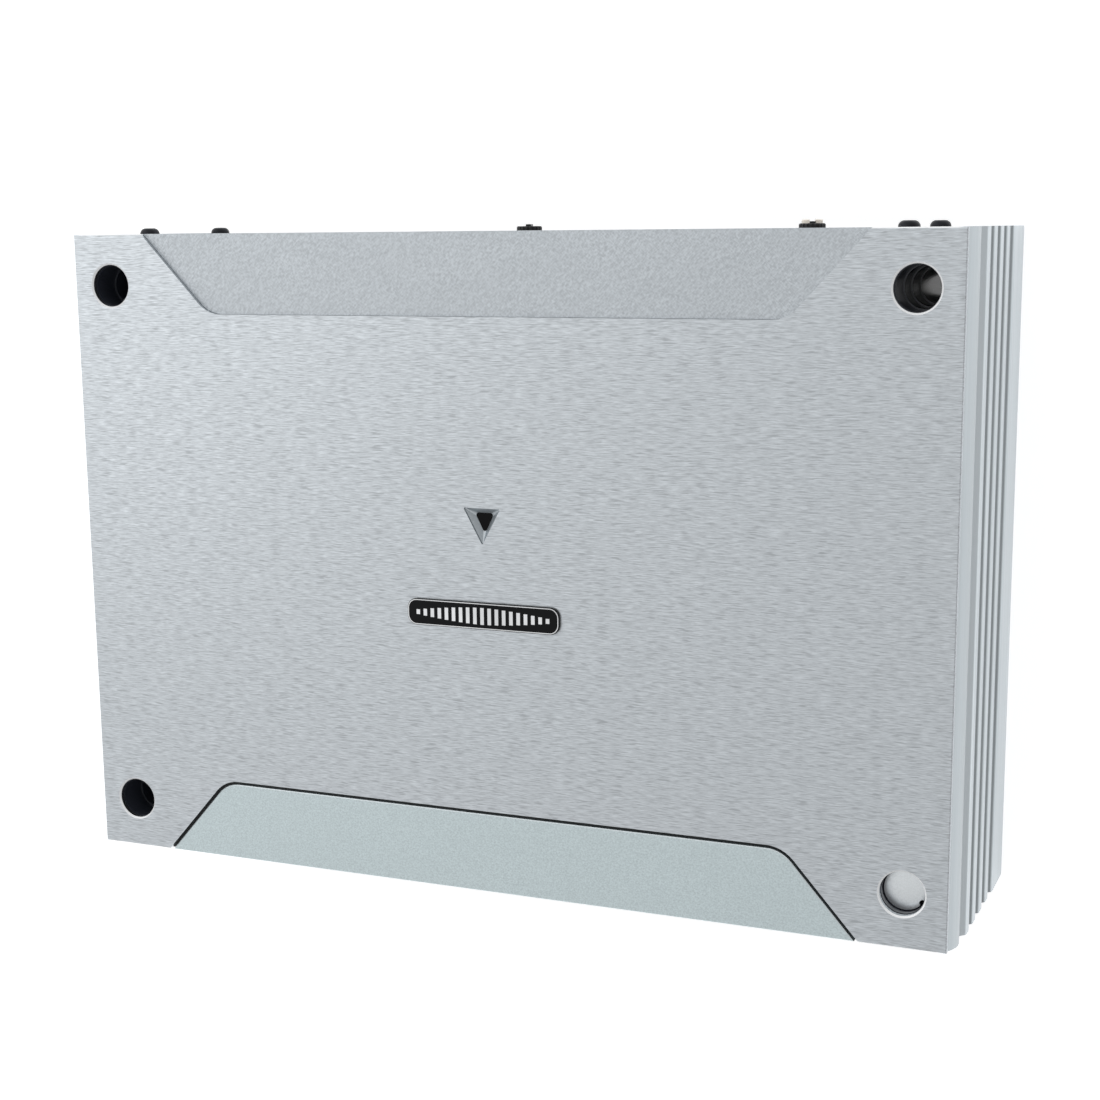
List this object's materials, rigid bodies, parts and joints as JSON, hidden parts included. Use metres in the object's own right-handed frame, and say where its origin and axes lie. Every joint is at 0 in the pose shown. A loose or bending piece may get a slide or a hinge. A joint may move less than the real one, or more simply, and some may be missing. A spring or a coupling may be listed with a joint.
{
  "type": "car amplifier",
  "caption": "Car audio power amplifier: ribbed aluminium heatsink body, brushed face with corner screw holes, control end with knobs and sockets, power end with clamps and fuses.",
  "frame": {"origin": "centre of the mounting face", "axes": "+X along the long side, +Y towards the control end, +Z out of the brushed face"},
  "size_m": [0.234, 0.1739, 0.0608],
  "materials": {
    "heatsink_anodised": "satin clear anodised extrusion",
    "face_brushed": "fine brushed along X, clear anodised",
    "inlay_satin": "fine sand-blasted satin",
    "inlay_lower": "smooth satin silver-grey paint",
    "adhesive_black": "matt black film",
    "badge_black": "gloss black",
    "bezel_grey": "satin grey",
    "window_dark": "dark smoked lens",
    "light_pipe": "clear acrylic",
    "panel_black": "fine-textured black powder coat",
    "screw_black": "black oxide steel",
    "cover_zinc": "zinc-plated sheet",
    "sleeve_black": "moulded gloss black",
    "plug_silver": "satin turned cap",
    "board_green": "solder mask",
    "standoff_nickel": "nickel-plated brass",
    "zinc_screw": "zinc-plated steel",
    "core_coated": "epoxy-coated ring core",
    "copper_wire": "enamelled copper",
    "capacitor_sleeve": "shrink sleeve",
    "device_epoxy": "moulded epoxy",
    "pad_grey": "silicone pad",
    "clamp_steel": "plain steel bar",
    "socket_black": "moulded black",
    "contact_nickel": "bright nickel",
    "insulator_white": "moulded white",
    "contact_gold": "gold-flashed brass",
    "pot_body": "moulded blue-grey",
    "ivory_plastic": "moulded ivory",
    "knob_black": "moulded black",
    "terminal_black": "glass-filled moulding",
    "terminal_nickel": "nickel-plated",
    "bus_tin": "tin-plated",
    "fuse_green": "tinted moulding"
  },
  "bodies": {
    "chassis": {"heatsink_chassis": "heatsink_anodised", "face_adhesive_sheet": "adhesive_black", "brushed_face_plate": "face_brushed", "control_end_inlay": "inlay_satin", "power_end_inlay": "inlay_lower", "badge_plate": "badge_black", "indicator_bezel": "bezel_grey", "indicator_window": "window_dark", "indicator_light_pipe": "light_pipe", "control_end_panel": "panel_black", "power_end_panel": "panel_black", "end_panel_screws": "screw_black", "bottom_cover": "cover_zinc", "bottom_cover_screws": "zinc_screw", "screw_guide_sleeves": "sleeve_black", "sleeve_plug": "plug_silver", "main_circuit_board": "board_green", "board_standoffs": "standoff_nickel", "board_screws": "zinc_screw", "transformer_core": "core_coated", "transformer_winding": "copper_wire", "output_choke_core": "core_coated", "output_choke_winding": "copper_wire", "electrolytic_capacitors": "capacitor_sleeve", "supply_transistors": "device_epoxy", "output_transistors": "device_epoxy", "insulator_pads": "pad_grey", "transistor_clamp_bars": "clamp_steel", "clamp_bar_screws": "zinc_screw", "board_chips": "device_epoxy", "rca_block": "socket_black", "rca_collars": "contact_nickel", "rca_insulators": "insulator_white", "rca_centre_contacts": "contact_gold", "speaker_level_socket": "insulator_white", "speaker_level_pins": "contact_gold", "remote_level_jack": "socket_black", "control_pots": "pot_body", "slide_switch_bodies": "socket_black", "power_terminal_block": "terminal_black", "speaker_terminal_block": "terminal_black", "terminal_bus_bars": "bus_tin", "fuse_holder": "terminal_black"},
    "gain_knob": {"gain_knob": "knob_black"},
    "filter_knob": {"filter_knob": "knob_black", "filter_knob_cap": "ivory_plastic"},
    "phase_switch_lever": {"phase_switch_lever": "knob_black"},
    "filter_switch_lever": {"filter_switch_lever": "knob_black"},
    "ground_screw": {"ground_screw": "terminal_nickel"},
    "ground_cage": {"ground_cage": "terminal_nickel"},
    "remote_screw": {"remote_screw": "terminal_nickel"},
    "remote_cage": {"remote_cage": "terminal_nickel"},
    "battery_screw": {"battery_screw": "terminal_nickel"},
    "battery_cage": {"battery_cage": "terminal_nickel"},
    "speaker_plus_screw": {"speaker_plus_screw": "terminal_nickel"},
    "speaker_plus_cage": {"speaker_plus_cage": "terminal_nickel"},
    "speaker_minus_screw": {"speaker_minus_screw": "terminal_nickel"},
    "speaker_minus_cage": {"speaker_minus_cage": "terminal_nickel"},
    "upper_fuse": {"upper_fuse": "fuse_green"},
    "lower_fuse": {"lower_fuse": "fuse_green"}
  },
  "joints": [
    {"name": "gain_knob_turn", "type": "hinge", "parent": "chassis", "child": "gain_knob", "pos_m": [0.003, 0.08, 0.036], "axis": [0, -1, 0], "range_deg": [-122, 158]},
    {"name": "filter_knob_turn", "type": "hinge", "parent": "chassis", "child": "filter_knob", "pos_m": [0.0744, 0.08, 0.036], "axis": [0, -1, 0], "range_deg": [-122, 158]},
    {"name": "phase_switch_slide", "type": "slide", "parent": "chassis", "child": "phase_switch_lever", "axis": [1, 0, 0], "range_m": [0, 0.004]},
    {"name": "filter_switch_slide", "type": "slide", "parent": "chassis", "child": "filter_switch_lever", "axis": [1, 0, 0], "range_m": [0, 0.004]},
    {"name": "ground_screw_turn", "type": "hinge", "parent": "chassis", "child": "ground_screw", "pos_m": [-0.082, -0.085, 0.034], "axis": [0, 0, -1], "range_deg": [0, 2520]},
    {"name": "ground_cage_rise", "type": "slide", "parent": "chassis", "child": "ground_cage", "axis": [0, 0, 1], "range_m": [0, 0.0056]},
    {"name": "remote_screw_turn", "type": "hinge", "parent": "chassis", "child": "remote_screw", "pos_m": [-0.068, -0.085, 0.034], "axis": [0, 0, -1], "range_deg": [0, 2520]},
    {"name": "remote_cage_rise", "type": "slide", "parent": "chassis", "child": "remote_cage", "axis": [0, 0, 1], "range_m": [0, 0.0056]},
    {"name": "battery_screw_turn", "type": "hinge", "parent": "chassis", "child": "battery_screw", "pos_m": [-0.054, -0.085, 0.034], "axis": [0, 0, -1], "range_deg": [0, 2520]},
    {"name": "battery_cage_rise", "type": "slide", "parent": "chassis", "child": "battery_cage", "axis": [0, 0, 1], "range_m": [0, 0.0056]},
    {"name": "speaker_plus_screw_turn", "type": "hinge", "parent": "chassis", "child": "speaker_plus_screw", "pos_m": [0.052, -0.085, 0.034], "axis": [0, 0, -1], "range_deg": [0, 2520]},
    {"name": "speaker_plus_cage_rise", "type": "slide", "parent": "chassis", "child": "speaker_plus_cage", "axis": [0, 0, 1], "range_m": [0, 0.0056]},
    {"name": "speaker_minus_screw_turn", "type": "hinge", "parent": "chassis", "child": "speaker_minus_screw", "pos_m": [0.066, -0.085, 0.034], "axis": [0, 0, -1], "range_deg": [0, 2520]},
    {"name": "speaker_minus_cage_rise", "type": "slide", "parent": "chassis", "child": "speaker_minus_cage", "axis": [0, 0, 1], "range_m": [0, 0.0056]},
    {"name": "upper_fuse_pull", "type": "slide", "parent": "chassis", "child": "upper_fuse", "axis": [0, -1, 0], "range_m": [0, 0.016]},
    {"name": "lower_fuse_pull", "type": "slide", "parent": "chassis", "child": "lower_fuse", "axis": [0, -1, 0], "range_m": [0, 0.016]}
  ],
  "couplings": [
    {"joint": "ground_screw_turn", "follows": "ground_cage_rise", "rad_per_m": 7854},
    {"joint": "remote_screw_turn", "follows": "remote_cage_rise", "rad_per_m": 7854},
    {"joint": "battery_screw_turn", "follows": "battery_cage_rise", "rad_per_m": 7854},
    {"joint": "speaker_plus_screw_turn", "follows": "speaker_plus_cage_rise", "rad_per_m": 7854},
    {"joint": "speaker_minus_screw_turn", "follows": "speaker_minus_cage_rise", "rad_per_m": 7854}
  ]
}
